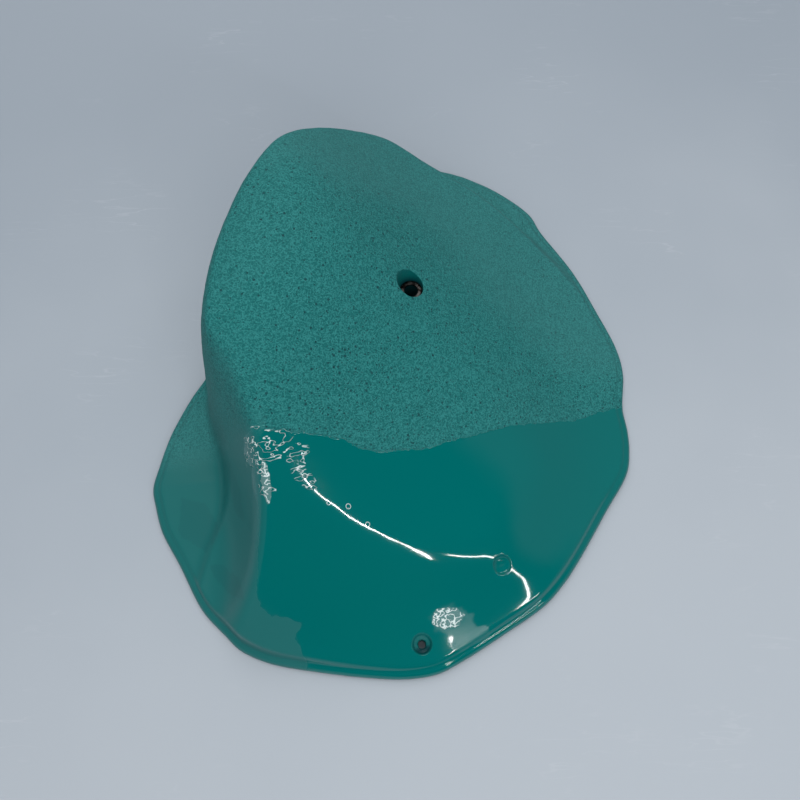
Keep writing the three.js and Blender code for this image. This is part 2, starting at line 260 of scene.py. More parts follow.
# The bolt bore, the screw hole and the dish: radii, depths and edges in millimetres, the radius
# of the finer patch of skin round each, and the rings down its wall, or down a share of it.
bolt = {
    "at": (13.5, 52), "mouth": 11, "seat": 8.75, "hole": 6, "seatDepth": 12, "edge": 0.9,
    "patch": 17, "rings": 8, "settleRounds": 6, "clearance": 0.3, "washerOuter": 10,
    "washerHub": 8.4, "washerBore": 5.25, "washerFlange": 1, "washerThickness": 2,
    "washerEase": 0.25,
}
screw = {
    "at": (22, -206), "mouth": 7.75, "floor": 6, "hole": 3.1, "depth": 4.5, "edge": 0.9,
    "patch": 12, "rings": 6, "wallSwell": 0.12, "lip": 0.5, "lipDrop": 0.2, "lipDepth": 0.8,
}
dish = {
    "at": (84, -148), "mouth": 6.8, "depth": 2.2, "edge": 1.2, "patch": 11.5, "rings": 8,
    "wallShare": 0.9,
}

# Each patch starts a gap in millimetres inside the cut skin. It has rings on the skin, and then
# those of the rounded edge.
patch = {"gap": 1.6, "skinRings": 5, "edgeRings": 5}
turnSteps = 96
turnAngles = np.linspace(0, 2 * math.pi, turnSteps, endpoint=False)


def skinSpokes():
    # Ways from the foot line to the middle, divided evenly along the surface.
    starts = evenly(footLine, skin["spokes"])
    inward = np.linspace(0, 1, skin["samples"] + 1) ** 2
    middle = np.array(hold["middle"], float)
    way = starts[:, None] + (middle - starts)[:, None] * inward[None, :, None]
    height = surfaceHeight(way[..., 0], way[..., 1])
    steps = np.sqrt((np.diff(way, axis=1) ** 2).sum(2) + np.diff(height, axis=1) ** 2)
    along = np.concatenate([np.zeros((len(starts), 1)), np.cumsum(steps, axis=1)], axis=1)
    shares = np.arange(skin["rings"]) / skin["rings"]
    inwardAt = np.array([np.interp(shares * run[-1], run, inward) for run in along])
    return starts[:, None] + (middle - starts)[:, None] * inwardAt[..., None]


def ringOf(centre, radii):
    return np.stack([centre[0] + radii * np.cos(turnAngles),
                     centre[1] + radii * np.sin(turnAngles)], 1)


def withHeight(plan, height=None):
    if height is None:
        height = surfaceHeight(plan[:, 0], plan[:, 1])
    return np.column_stack([plan, np.broadcast_to(height, len(plan))])


def turned(centre, profile):
    # Rings round a centre, from pairs of radius and height.
    return [withHeight(ringOf(centre, radius), height) for radius, height in profile]


def fillBetween(rings):
    # Triangles in plan between nested rings, as numbers into all their points. The places are
    # rounded as the triangulation rounds them, so that slivers fall on the right side.
    nearEnough = 1e-7
    points = np.vstack(rings)
    plan = points[:, :2].astype(np.float32).astype(float)
    lines = np.split(plan, np.cumsum([len(ring) for ring in rings])[:-1])
    edges, start = [], 0
    for line in lines:
        edges += [(start + i, start + (i + 1) % len(line)) for i in range(len(line))]
        start += len(line)
    found = delaunay_2d_cdt([Vector(p) for p in plan], edges, [], 0, nearEnough)
    faces, origins = found[2], found[3]
    faces = np.array([[origins[k][0] for k in face] for face in faces])
    mid = plan[faces].mean(axis=1)
    between = np.zeros(len(faces), bool)
    for line in lines:
        between ^= insideLine(mid[:, 0], mid[:, 1], line)
    return points, faces[between]


def addRings(shell, rings, finish=0, cap=False):
    # Lays the bands between rings of equal count; a cap closes the last ring.
    count = len(rings[0])
    index = [np.arange(count) + k * count for k in range(len(rings))]
    faces = []
    for low, high in zip(index, index[1:]):
        faces += band(low, high)
    points = np.vstack(rings)
    if cap:
        points = np.vstack([points, points[-count:].mean(axis=0)])
        last = index[-1]
        faces += [(last[i], last[(i + 1) % count], len(points) - 1) for i in range(count)]
    shell.add(points, faces, finish)


def outerEdges(faces):
    edges = {(int(face[k]), int(face[(k + 1) % 3])) for face in faces for k in range(3)}
    return [(a, b) for a, b in edges if (b, a) not in edges]


def pinchedPoints(faces):
    # Points where the outer edge of some triangles passes more than once.
    starts = [a for a, b in outerEdges(faces)]
    return sorted({a for a in starts if starts.count(a) > 1})


def edgeLoop(faces):
    # The outer edge of some triangles, as one ring of point numbers.
    following = dict(outerEdges(faces))
    loop = [min(following)]
    while len(loop) < len(following):
        loop.append(following[loop[-1]])
    return loop


def layRings(ways):
    # The whole skin: points, triangles, and the numbers of the points on the foot line.
    spokes, rings = ways.shape[:2]
    stride, limit = 1, skin["coarserFrom"]
    plans, numbers, count = [], [], 0
    for ring in range(rings):
        if ring / rings >= limit and spokes // stride > skin["leastSpokes"]:
            stride, limit = stride * 2, (1 + limit) / 2
        plans.append(ways[::stride, ring])
        numbers.append(np.arange(count, count + spokes // stride))
        count += spokes // stride
    faces = []
    for low, high in zip(numbers, numbers[1:]):
        faces += band(low, high)
    last = numbers[-1]
    faces += [(last[i], last[(i + 1) % len(last)], count) for i in range(len(last))]
    return withHeight(np.vstack([*plans, [hold["middle"]]])), np.array(faces), numbers[0]


def outerSkin(shell):
    # Lays the skin and the side of the foot. Returns the ring where the foot meets the wall.
    points, faces, foot = layRings(skinSpokes())
    # Room for the finer patches round the bore, the recess and the dish.
    for place in (bolt, screw, dish):
        away = np.hypot(points[:, 0] - place["at"][0], points[:, 1] - place["at"][1])
        gone = (away < place["patch"])[faces].any(axis=1)
        while (pinched := pinchedPoints(faces[gone])):
            gone |= np.isin(faces, pinched).any(axis=1)
        place["boundary"] = points[edgeLoop(faces[gone])]
        faces = faces[~gone]
    shell.add(points, faces, skinFinish)
    rim = points[foot]
    inset = rim[:, :2] + (np.array(hold["middle"]) - rim[:, :2]) * skin["footInset"]
    sides = [withHeight(inset, 0.0), withHeight(rim[:, :2], skin["footEase"]), rim]
    addRings(shell, sides, skinFinish)
    return sides[0]


def mouthPatch(shell, place, mouth):
    # Rings from the cut skin to the rounded edge of a mouth. Returns the last ring.
    reach, wide = place["patch"] - patch["gap"], mouth + place["edge"]
    rings = [withHeight(ringOf(place["at"], reach + (wide - reach) * share))
             for share in np.linspace(0, 1, patch["skinRings"])]
    for turn in np.linspace(0, math.pi / 2, patch["edgeRings"] + 1)[1:]:
        ring = withHeight(ringOf(place["at"], mouth + place["edge"] * (1 - math.sin(turn))))
        ring[:, 2] -= place["edge"] * (1 - math.cos(turn))
        rings.append(ring)
    points, faces = fillBetween([place["boundary"], rings[0]])
    shell.add(points, faces, skinFinish)
    addRings(shell, rings, skinFinish)
    return rings[-1]


def wallRings(place, edge, mouth, floor, floorZ, drop=float):
    # Rings down the wall of a hole, from the edge of its mouth towards its floor.
    rings = [edge]
    for share in np.linspace(0, place.get("wallShare", 1), place["rings"] + 1)[1:]:
        height = edge[:, 2] + (floorZ - edge[:, 2]) * drop(share)
        rings.append(withHeight(ringOf(place["at"], mouth + (floor - mouth) * share), height))
    return rings


def boltBore(shell):
    mouthZ = surfaceHeight(*np.array(bolt["at"], float).reshape(2, 1))[0]
    seatZ = mouthZ - bolt["seatDepth"]
    # The bore tapers and its mouth slants, so the radius there settles in a few rounds.
    mouth = np.full(turnSteps, float(bolt["mouth"]))
    for _ in range(bolt["settleRounds"]):
        z = surfaceHeight(*ringOf(bolt["at"], mouth).T)
        share = np.minimum(1, (z - seatZ) / (mouthZ - seatZ))
        mouth = bolt["seat"] + (bolt["mouth"] - bolt["seat"]) * share
    rings = wallRings(bolt, mouthPatch(shell, bolt, mouth), mouth, bolt["seat"], seatZ)
    # Under the seat lies the groove that holds the washer.
    groove = bolt["washerOuter"] + bolt["clearance"]
    grooveHigh = seatZ - bolt["washerThickness"] + bolt["washerFlange"] + bolt["clearance"]
    grooveLow = seatZ - bolt["washerThickness"] - bolt["clearance"]
    rings += turned(bolt["at"], [
        (bolt["seat"], grooveHigh), (groove, grooveHigh), (groove, grooveLow),
        (bolt["hole"], grooveLow), (bolt["hole"], 0.0)])
    addRings(shell, rings, boreFinish)
    return rings[-1], seatZ


def screwHole(shell):
    edge = mouthPatch(shell, screw, screw["mouth"])
    floorZ = edge[:, 2] - screw["depth"] + screw["edge"]
    rings = wallRings(screw, edge, screw["mouth"], screw["floor"], floorZ,
                      lambda share: share - screw["wallSwell"] * math.sin(2 * math.pi * share))
    rings += turned(screw["at"], [
        (screw["hole"] + screw["lip"], floorZ - screw["lipDrop"]),
        (screw["hole"], floorZ.mean() - screw["lipDepth"]), (screw["hole"], 0.0)])
    addRings(shell, rings, boreFinish)
    return rings[-1]


def dishHollow(shell):
    edge = mouthPatch(shell, dish, dish["mouth"])
    floorZ = edge[:, 2].mean() - dish["depth"] + dish["edge"]
    rings = wallRings(dish, edge, dish["mouth"], 0, floorZ,
                      lambda share: math.sqrt(1 - (1 - share) ** 2))
    addRings(shell, rings, skinFinish, cap=True)


# The hollow back, in metres: points closer than weld are joined, faces below footTop belong to
# the foot, and the chambers stay at least rimGap away from the solid's side.
hollow = {"weld": 2e-6, "footTop": 1e-5, "rimGap": 0.010, "easeRounds": 4, "easeShare": 0.5}


def joinedTo(faces):
    # The given faces and all that hang together with them.
    found, queue = set(faces), list(faces)
    while queue:
        for edge in queue.pop().edges:
            for face in edge.link_faces:
                if face not in found:
                    found.add(face)
                    queue.append(face)
    return found


def openLoops(bm):
    # The open edges, as rings of point numbers.
    neighbours = {}
    for edge in bm.edges:
        if len(edge.link_faces) == 1:
            a, b = (v.index for v in edge.verts)
            neighbours.setdefault(a, []).append(b)
            neighbours.setdefault(b, []).append(a)
    loops = []
    while neighbours:
        loop = [min(neighbours)]
        last, here = loop[0], neighbours[loop[0]][0]
        while here != loop[0]:
            loop.append(here)
            last, here = here, next(k for k in neighbours[here] if k != last)
        for k in loop:
            del neighbours[k]
        loops.append(loop)
    return loops


def hollowBack(shell):
    # The chambers between the ribs, taken from the solid, made finer and eased at the corners.
    bm = bmesh.new()
    bm.from_mesh(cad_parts["hold_body"].data)
    bmesh.ops.remove_doubles(bm, verts=bm.verts, dist=hollow["weld"])
    flat = [f for f in bm.faces if all(abs(v.co.z) < hollow["footTop"] for v in f.verts)]
    bmesh.ops.delete(bm, geom=flat, context="FACES_ONLY")
    reach = max(abs(v.co.x) for v in bm.verts) - hollow["rimGap"]
    outside = joinedTo([f for f in bm.faces if any(abs(v.co.x) >= reach for v in f.verts)])
    bmesh.ops.delete(bm, geom=[f for f in bm.faces if f in outside], context="FACES")
    bmesh.ops.triangulate(bm, faces=bm.faces[:])
    bmesh.ops.subdivide_edges(bm, edges=bm.edges[:], cuts=1, use_grid_fill=True)
    bmesh.ops.triangulate(bm, faces=bm.faces[:])
    inner = [v for v in bm.verts if v.co.z > hollow["footTop"]]
    for _ in range(hollow["easeRounds"]):
        bmesh.ops.smooth_vert(bm, verts=inner, factor=hollow["easeShare"], use_axis_x=True,
                              use_axis_y=True, use_axis_z=True)
    bm.verts.index_update()
    points = np.array([v.co[:] for v in bm.verts]) / millimetre - formShift
    faces = np.array([[v.index for v in f.verts] for f in bm.faces])
    loops = [points[loop] for loop in openLoops(bm)]
    bm.free()
    shell.add(points, faces, backFinish)
    return loops


print("drawing the casting")
shell = Shell()
footRing = outerSkin(shell)
boltRing, seatHeight = boltBore(shell)
screwRing = screwHole(shell)
dishHollow(shell)
points, faces = fillBetween([footRing, boltRing, screwRing, *hollowBack(shell)])
shell.add(withHeight(points[:, :2], 0.0), faces, backFinish)


def softNoise(points, size, seed):
    # Smooth random values from -1 to 1 with lumps of the given size.
    count = 64
    table = np.random.default_rng(seed).uniform(-1, 1, (count, count, count))
    grid = points / size
    low = np.floor(grid).astype(int)
    part = grid - low
    part = part * part * (3 - 2 * part)
    value = np.zeros(len(points))
    for corner in np.ndindex(2, 2, 2):
        at = (low + corner) % count
        weight = np.where(corner, part, 1 - part).prod(axis=1)
        value += weight * table[at[:, 0], at[:, 1], at[:, 2]]
    return value


# Parts of the skin, as closed lines in millimetres of the drawing: the gloss apron, the left
# flank that is satin rather than mirror gloss, and the two far slopes where the sand is finer and
# carries a painted sheen.
regions = {
    "fromGlossEdge": [
        [(-206, -60), (-172, -59), (-149, -56), (-125, -62), (-101, -66), (-85, -68), (-72, -68),
         (-49, -68), (-35, -69), (-22, -73), (-10, -74), (9, -70), (20, -70), (39, -62),
         (69, -52), (88, -44), (120, -35), (150, -28), (165, -21), (184, -13), (206, -8),
         (206, -400), (-206, -400)],
    ],
    "fromSatinEdge": [
        [(-112, 20), (-96, -35), (-88, -60), (-92, -73), (-97, -84), (-103, -96), (-97, -114),
         (-97, -126), (-98, -140), (-99, -156), (-101, -171), (-98, -180), (-91, -187),
         (-78, -188), (-70, -192), (-74, -203), (-67, -218), (-67, -300), (-300, -300),
         (-300, 20)],
    ],
    "fromSheenEdge": [
        [(-90, 124), (-47, 116), (-18, 120), (13, 119), (38, 101), (54, 83), (79, 55),
         (124, 32), (141, 21), (260, -10), (260, 300), (-90, 300)],
        [(-105, -70), (-112, -30), (-135, 0), (-300, 0), (-300, -120), (-112, -110)],
    ],
}

# Places where the gloss isn't plain, as ovals in millimetres of the drawing: the middle, half
# the length, half the width, and the turn in degrees.
glossMarks = {
    "wetBeads": [(-84, -79, 27, 15, -8), (-90, -100, 7, 16, 8), (-64, -96, 12, 6, -35)],
    "brokenFilm": [(42, -187, 13, 8, 8), (-90, -101, 13, 3.4, -86)],
    "thinFilm": [(46, -189, 21, 13, -12), (66, -199, 11, 7, 25), (52, -206, 8, 6, 0)],
    # Darker ovals on the left flank, a painted darkening of its reflection.
    "darkOvals": [(-160, -112, 26, 15, -52), (-122, -96, 24, 5, -74), (-128, -160, 22, 7, -40)],
}

# Swells that move the skin in and out, each a height and a size in millimetres and the seed of
# its noise. They fade in over some millimetres: at the gloss edge, on the two flanks from a
# distance off the middle, and from a height above the back.
swells = {
    "sandy": [(0.10, 3.2, 1), (0.12, 6.5, 2), (0.22, 21, 3)],
    "gloss": [(0.04, 30, 4), (0.03, 15, 5)],
    "flank": [(0.22, 30, 4)],
    "glossFade": 3, "middleX": 4, "flankFrom": 90, "flankFade": 30, "footFrom": 3, "footFade": 6,
}


def markShare(x, y, ovals):
    # 1 in the middle of an oval, 0 at its edge, and below 0 outside.
    share = np.full(x.shape, -1.0)
    for middleX, middleY, halfLength, halfWidth, turn in ovals:
        cosine, sine = math.cos(math.radians(turn)), math.sin(math.radians(turn))
        along = ((x - middleX) * cosine + (y - middleY) * sine) / halfLength
        across = ((y - middleY) * cosine - (x - middleX) * sine) / halfWidth
        share = np.maximum(share, 1 - np.hypot(along, across))
    return share


def storeLayers(mesh, x, y):
    # Keeps on every point how far it lies in each region and mark, for the material.
    layers = {name: markShare(x, y, ovals) for name, ovals in glossMarks.items()}
    for name, lines in regions.items():
        insides = [insideDistance(x, y, np.array(line, float)) for line in lines]
        layers[name] = np.max(insides, axis=0)
    for name, values in layers.items():
        layer = mesh.attributes.new(name, "FLOAT", "POINT")
        layer.data.foreach_set("value", values.astype(np.float32))
    return layers


def pieceOf(shell, name):
    # A welded piece from a shell in millimetres of the drawing.
    weld = 1e-6
    mesh = bpy.data.meshes.new(name)
    points = (np.vstack(shell.points) + formShift) * millimetre
    mesh.from_pydata(points.tolist(), [], np.vstack(shell.faces).tolist())
    mesh.polygons.foreach_set("material_index", np.concatenate(shell.finishes))
    bm = bmesh.new()
    bm.from_mesh(mesh)
    bmesh.ops.remove_doubles(bm, verts=bm.verts, dist=weld)
    bmesh.ops.recalc_face_normals(bm, faces=bm.faces[:])
    openEdges = sum(not e.is_manifold for e in bm.edges)
    print(name + ":", len(bm.faces), "faces,", openEdges, "open edges")
    bm.to_mesh(mesh)
    bm.free()
    mesh.polygons.foreach_set("use_smooth", np.ones(len(mesh.polygons), bool))
    obj = bpy.data.objects.new(name, mesh)
    bpy.context.scene.collection.objects.link(obj)
    return obj


def onSkinOnly(mesh):
    # True for the points that belong to the skin and to no other finish.
    corners = np.zeros(len(mesh.loops), np.int64)
    mesh.loops.foreach_get("vertex_index", corners)
    finish = np.zeros(len(mesh.polygons), np.int64)
    mesh.polygons.foreach_get("material_index", finish)
    corners = corners.reshape(-1, 3)
    isSkin = np.zeros(len(mesh.vertices), bool)
    isSkin[corners[finish == skinFinish]] = True
    isSkin[corners[finish != skinFinish]] = False
    return isSkin


def swellSkin(mesh):
    count = len(mesh.vertices)
    place, normal = np.zeros(count * 3), np.zeros(count * 3)
    mesh.vertices.foreach_get("co", place)
    mesh.vertex_normals.foreach_get("vector", normal)
    place = place.reshape(-1, 3) / millimetre - formShift
    x, y, z = place.T.copy()
    layers = storeLayers(mesh, x, y)
    sandy, wavy, high = (sum(height * softNoise(place, size, seed) for height, size, seed in
                             swells[name]) for name in ("sandy", "gloss", "flank"))
    gloss = np.clip(layers["fromGlossEdge"] / swells["glossFade"] + 0.5, 0, 1)
    outward = np.abs(x - swells["middleX"]) - swells["flankFrom"]
    flank = np.clip(outward / swells["flankFade"], 0, 1)
    free = np.clip((z - swells["footFrom"]) / swells["footFade"], 0, 1)
    move = (sandy * (1 - gloss) + (wavy + high * flank) * gloss) * free
    place += normal.reshape(-1, 3) * (move * onSkinOnly(mesh))[:, None]
    place = (place + formShift) * millimetre
    place = np.clip(place, *(np.array(corner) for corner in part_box("hold_body")))
    mesh.vertices.foreach_set("co", place.ravel())
    mesh.update()


def markSharp(mesh):
    # The skin is smooth everywhere; the walls of the holes and the back keep their sharp edges.
    sharpAngle = math.radians(38)
    bm = bmesh.new()
    bm.from_mesh(mesh)
    for edge in bm.edges:
        skinOnly = all(f.material_index == skinFinish for f in edge.link_faces)
        if not skinOnly and len(edge.link_faces) == 2 and edge.calc_face_angle() > sharpAngle:
            edge.smooth = False
    bm.to_mesh(mesh)
    bm.free()


casting = pieceOf(shell, "hold_casting")
swellSkin(casting.data)
markSharp(casting.data)
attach(casting, "root")
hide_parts("hold_body")


def turnWasher():
    # The profile runs round the section: the flange, the step and the hub, with eased corners.
    bore, outer, hub = bolt["washerBore"], bolt["washerOuter"], bolt["washerHub"]
    ease, top = bolt["washerEase"], seatHeight
    low = top - bolt["washerThickness"]
    step = low + bolt["washerFlange"]
    profile = [
        (bore, low + ease), (bore + ease, low), (outer - ease, low), (outer, low + ease),
        (outer, step - ease), (outer - ease, step), (hub, step), (hub, top - ease),
        (hub - ease, top), (bore + ease, top), (bore, top - ease),
    ]
    body, rings = Shell(), turned(bolt["at"], profile)
    addRings(body, [*rings, rings[0]])
    return pieceOf(body, "steel_washer")


print("turning the washer")
washer = turnWasher()
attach(washer, "root")
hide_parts("bolt_washer")


class Wire:
    # A node socket that can stand in sums, and that can lay more nodes in its tree.
    def __init__(self, tree, socket=None):
        self.tree, self.socket = tree, socket

    def make(self, kind, settings=None, sockets=None, out=0):
        node = self.tree.nodes.new(kind)
        for name, value in (settings or {}).items():
            setattr(node, name, value)
        for name, value in (sockets or {}).items():
            if isinstance(value, Wire):
                self.tree.links.new(value.socket, node.inputs[name])
            else:
                node.inputs[name].default_value = value
        return Wire(self.tree, node.outputs[out]) if node.outputs else None

    def maths(self, operation, first, second):
        return self.make("ShaderNodeMath", {"operation": operation}, {0: first, 1: second})

    def vectorMaths(self, operation, second=(0, 0, 0), out="Value"):
        return self.make("ShaderNodeVectorMath", {"operation": operation},
                         {0: self, 1: second}, out)

    def __add__(self, other):
        return self.maths("ADD", self, other)

    def __radd__(self, other):
        return self.maths("ADD", other, self)

    def __sub__(self, other):
        return self.maths("SUBTRACT", self, other)

    def __rsub__(self, other):
        return self.maths("SUBTRACT", other, self)

    def __mul__(self, other):
        return self.maths("MULTIPLY", self, other)

    def __rmul__(self, other):
        return self.maths("MULTIPLY", other, self)

    def __abs__(self):
        return self.maths("ABSOLUTE", self, 0.0)

    def rise(self, low, high):
        # From 0 at the low value to 1 at the high one.
        return self.make("ShaderNodeMapRange", {"interpolation_type": "SMOOTHSTEP"},
                         {"Value": self, "From Min": low, "From Max": high})

    def lines(self, level, sharpness, low, high):
        # Lines where the wire passes the level.
        return (1 - abs(self - level) * sharpness).rise(low, high)

    def blendColours(self, first, second):
        # The wire is the share of the second colour.
        return self.make("ShaderNodeMix", {"data_type": "RGBA"}, {0: self, 6: first, 7: second}, 2)


def newMaterial(name):
    # The material and the wire that carries the place on the object.
    material = bpy.data.materials.new(name)
    material.use_nodes = True
    material.node_tree.nodes.clear()
    return material, Wire(material.node_tree).make("ShaderNodeTexCoord", out="Object")


def colour(*parts):
    return (*parts, 1.0)


def lumps(place, size, detail=0.0, roughness=0.5):
    # Noise with lumps of the given size in millimetres.
    return place.make("ShaderNodeTexNoise", {}, {
        "Vector": place, "Scale": 1 / (size * millimetre), "Detail": detail,
        "Roughness": roughness}, "Fac")


def cells(place, spacing, out="Distance"):
    # Round cells at uneven places, with the given spacing in millimetres.
    return place.make("ShaderNodeTexVoronoi", {}, {
        "Vector": place, "Scale": 1 / (spacing * millimetre)}, out)


def heightOf(place):
    return place.make("ShaderNodeSeparateXYZ", {}, {"Vector": place}, "Z")


def bumped(height):
    # The height is in millimetres.
    return height.make("ShaderNodeBump", {}, {
        "Strength": 1.0, "Distance": millimetre, "Height": height})


def close(place, sockets):
    refraction = 1.5
    shader = place.make("ShaderNodeBsdfPrincipled", {}, {"IOR": refraction, **sockets}, "BSDF")
    place.make("ShaderNodeOutputMaterial", {}, {"Surface": shader})


# In the looks below, lumps are a size in millimetres, a detail and a roughness, and heights are
# in millimetres. The two values of a grow or a from are those between which something sets in,
# and a line has a sharpness before them. The other numbers are shares.
teal = {
    "deep": colour(0.0, 0.137, 0.133),
    "grain": colour(0.0, 0.124, 0.122),
    # Painted highlight, for the tops of the sand's grain and worms.
    "peakHighlight": colour(0.024, 0.232, 0.226),
    # Painted shade, used in the sand's pits, down the bores, in the back's bubbles and in the left
    # flank's darker ovals.
    "paintedShade": colour(0.0, 0.056, 0.066),
    # Painted highlight, near white, for the beads, the drops and the broken film.
    "paintedGlint": colour(0.70, 0.80, 0.79),
    # Painted sheen, for the far slopes.
    "sheenSlopes": colour(0.042, 0.180, 0.180),
    "satin": colour(0.010, 0.132, 0.130),
    "veil": colour(0.05, 0.20, 0.195),
    "sandyRough": 0.8,
    "glossRough": 0.06,
    "filmRough": 0.24,
    "satinRough": 0.42,
}

# How the border of each layer wanders, and between which values the layer grows. The gloss sets in
# more softly on the satin flank.
borders = {
    "fromGlossEdge": {"push": 5.0, "lumps": (6, 3), "grow": (-0.9, 0.9),
                      "satinGrow": (-18.0, 14.0)},
    "fromSatinEdge": {"push": 6.0, "lumps": (9, 2), "grow": (-1.5, 1.5)},
    "fromSheenEdge": {"push": 24.0, "lumps": (30, 1), "grow": (-22.0, 26.0)},
    "wetBeads": {"push": 0.9, "lumps": (14, 1), "grow": (0.02, 0.25)},
    "brokenFilm": {"push": 0.5, "lumps": (6, 1), "grow": (0.0, 0.1)},
    "thinFilm": {"push": 0.7, "lumps": (9, 2), "grow": (0.0, 0.25)},
    "darkOvals": {"push": 1.1, "lumps": (13, 2, 0.6), "grow": (0.0, 0.14)},
}


def layerShare(place, name, way="grow"):
    border = borders[name]
    stored = place.make("ShaderNodeAttribute", {"attribute_name": name}, out="Fac")
    wander = border["push"] * (lumps(place, *border["lumps"]) - 0.5)
    return (stored + wander).rise(*border[way])


# Pores are given by their spacing and the widest of them in millimetres. There are fewer small
# ones here and there, and towards the top, between two heights in metres.
sand = {
    # The grain and worm tones lift the tops of the sand towards a painted highlight.
    "grain": (1.0, 1.0, 0.6), "grainHeight": 0.8, "grainTone": 0.72,
    "worms": (2.2, 1.0), "wormSharpness": 7, "wormHeight": 0.2, "wormTone": 0.3,
    "peakLightGrow": (0.28, 0.78),
    "largePores": (3.8, 2.1), "smallPores": (2.0, 1.35), "poreGrow": (0.0, 0.07),
    "crowds": (60, 1), "crowdGrow": (0.35, 0.6), "crowdShare": 0.5,
    "sparseFrom": (0.115, 0.180), "sparseShare": 0.6,
    # The pits take a painted shade, varied in patches.
    "poreHeight": 0.6, "pitShade": 0.6, "patches": (40, 2), "patchTone": 0.5,
    # On the far slopes the sand is finer and takes a painted sheen.
    "paleHeightLoss": 0.35, "palePoreLoss": 0.45, "sheenTone": 0.3,
}


def pores(place, spacing, widest):
    # Round pits at uneven spacing; each has its own size, and most are small.
    chance = cells(place, spacing, "Color").vectorMaths("DOT_PRODUCT", (1, 0, 0))
    radius = chance * (widest / 2 / spacing)
    return (radius - cells(place, spacing)).rise(*sand["poreGrow"])


def sandySkin(place, sheenSlopes):
    # Returns the colour and the height.
    grain = lumps(place, *sand["grain"])
    worms = lumps(place, *sand["worms"]).lines(0.5, sand["wormSharpness"], 0.0, 1.0)
    crowd = lumps(place, *sand["crowds"]).rise(*sand["crowdGrow"]) * sand["crowdShare"]
    sparse = heightOf(place).rise(*sand["sparseFrom"]) * sand["sparseShare"]
    crowd = (crowd + (1 - sand["crowdShare"])) * (1 - sparse)
    pits = pores(place, *sand["largePores"]) + pores(place, *sand["smallPores"]) * crowd
    height = grain * sand["grainHeight"] + worms * sand["wormHeight"] - pits * sand["poreHeight"]
    # Painted light: where the grain and the worms rise, the tone is lifted towards a painted
    # highlight.
    peakLight = (grain * sand["grainTone"] + worms * sand["wormTone"]).rise(*sand["peakLightGrow"])
    tone = peakLight.blendColours(teal["grain"], teal["peakHighlight"])
    # Painted shade in the pits, varied in patches.
    pitShade = lumps(place, *sand["patches"]) * sand["patchTone"] + sand["pitShade"]
    pitShade = pits * pitShade * (1 - sheenSlopes * sand["palePoreLoss"])
    tone = pitShade.blendColours(tone, teal["paintedShade"])
    # Painted sheen on the far slopes.
    tone = (sheenSlopes * sand["sheenTone"]).blendColours(tone, teal["sheenSlopes"])
    return tone, height * (1 - sheenSlopes * sand["paleHeightLoss"])


# The gloss, and what breaks it: beads in the film at the left shoulder, with painted highlight
# lines along them, a net of painted highlight lines over the broken film, and single drops by the
# ridge with painted highlight rings, each drop with its place and radius in millimetres.
gloss = {
    "swell": (26, 1), "swellHeight": 0.12,
    "veilTone": 0.2, "satinTone": 0.5, "darkTone": 0.16,
    "beads": (4.6, 1.2), "beadSqueeze": (0.62, 1.15, 1), "beadLevel": 0.57, "beadSoft": 0.03,
    "beadHeight": 0.8, "beadGlint": (34, 0.0, 0.6),
    "net": (4.2, 1.6), "netGlint": (16, 0.1, 0.7), "netGlintTone": 0.85, "glintBetweenTone": 0.15,
    "crumbs": (1.8, 1.0), "crumbHeight": 0.45,
    "drops": [(-32.7, -113.2, 1.7), (-18.8, -124.4, 1.5), (-62.8, -95.7, 1.6),
              (-46.7, -112.0, 1.2)],
    "dropGrow": (0.0, 0.9), "dropHeight": 0.6, "dropGlintLine": (2.4, 0.1, 0.8), "dropGlintTone": 0.8,
}


def glossDrops(place):
    # Returns the domes of the drops and the painted highlight rings round them.
    inPlan = place.vectorMaths("MULTIPLY", (1, 1, 0), "Vector")
    domes, rounds = 0.0, 0.0
    for x, y, radius in gloss["drops"]:
        middle = (np.array((x, y, 0)) + formShift) * millimetre
        away = inPlan.vectorMaths("DISTANCE", tuple(middle)) * (1 / millimetre)
        domes = domes + (radius - away).rise(*gloss["dropGrow"])
        rounds = rounds + away.lines(radius, *gloss["dropGlintLine"])
    return domes, rounds


def wetSkin(place, flank):
    # Returns the colour, the height and the roughness.
    beads = layerShare(place, "wetBeads")
    satin = flank * (1 - beads)
    broken = layerShare(place, "brokenFilm")
    film = layerShare(place, "thinFilm") * (1 - broken)
    squeezed = place.vectorMaths("MULTIPLY", gloss["beadSqueeze"], "Vector")
    beadLumps = lumps(squeezed, *gloss["beads"])
    beadRise = (beadLumps - gloss["beadLevel"]).rise(-gloss["beadSoft"], gloss["beadSoft"])
    beadGlint = beadLumps.lines(gloss["beadLevel"], *gloss["beadGlint"])
    netGlint = lumps(place, *gloss["net"]).lines(0.5, *gloss["netGlint"])
    domes, rounds = glossDrops(place)
    height = (lumps(place, *gloss["swell"]) * gloss["swellHeight"]
              + beads * beadRise * gloss["beadHeight"] + domes * gloss["dropHeight"]
              + broken * lumps(place, *gloss["crumbs"]) * gloss["crumbHeight"])
    tone = teal["deep"]
    for share, over in (
            (film * gloss["veilTone"], "veil"),
            (satin * gloss["satinTone"], "satin"),
            # Painted darkening of the left flank's reflection.
            (layerShare(place, "darkOvals") * gloss["darkTone"], "paintedShade"),
            # Painted highlights: lines on the beads, rings round the drops and a net over the
            # broken film.
            (beads * beadGlint, "paintedGlint"),
            (rounds * gloss["dropGlintTone"], "paintedGlint"),
            (broken * (netGlint * gloss["netGlintTone"] + gloss["glintBetweenTone"]), "paintedGlint")):
        tone = share.blendColours(tone, teal[over])
    roughness = (teal["glossRough"] + film * (teal["filmRough"] - teal["glossRough"])
                 + satin * (teal["satinRough"] - teal["glossRough"]))
    return tone, height, roughness


